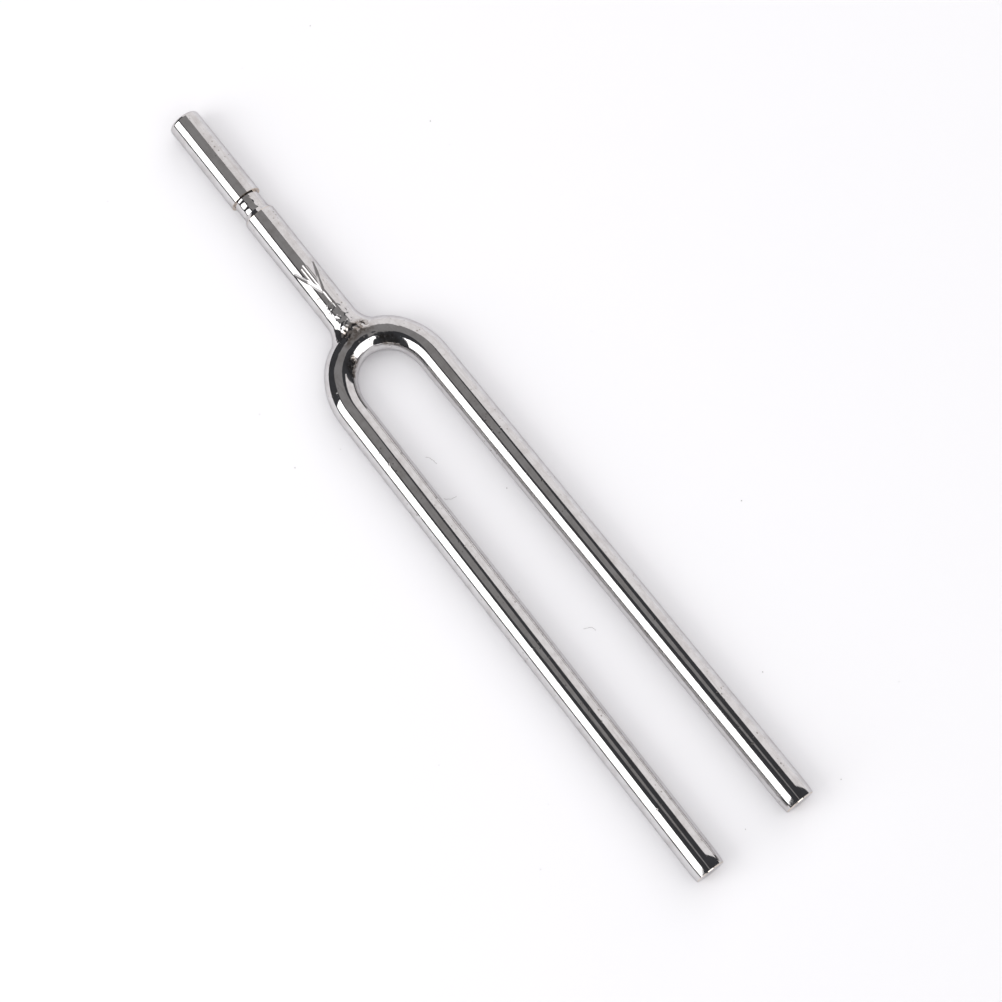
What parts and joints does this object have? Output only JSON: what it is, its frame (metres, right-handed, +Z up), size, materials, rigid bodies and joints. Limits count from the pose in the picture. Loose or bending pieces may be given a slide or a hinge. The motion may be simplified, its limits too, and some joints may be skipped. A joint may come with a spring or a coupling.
{
  "type": "tuning fork",
  "caption": "Round-bar steel tuning fork with slightly splayed prongs, a brazed stem, a grip groove and a plain chevron mark, bright chrome plated.",
  "frame": {"origin": "bottom centre of the whole fork as it lies flat on a table", "axes": "+X along the fork from the stem end to the prong ends, +Y across the prongs, +Z up, square to the plane that holds both prongs"},
  "size_m": [0.123, 0.019, 0.0045],
  "materials": {
    "prong_plate": "bright polished plating",
    "stem_plate": "bright polished plating",
    "braze_plate": "bright plating over a slightly lumpy fillet"
  },
  "bodies": {
    "root": {"prong_bar": "prong_plate", "stem": "stem_plate", "braze_fillet": "braze_plate"}
  },
  "joints": []
}
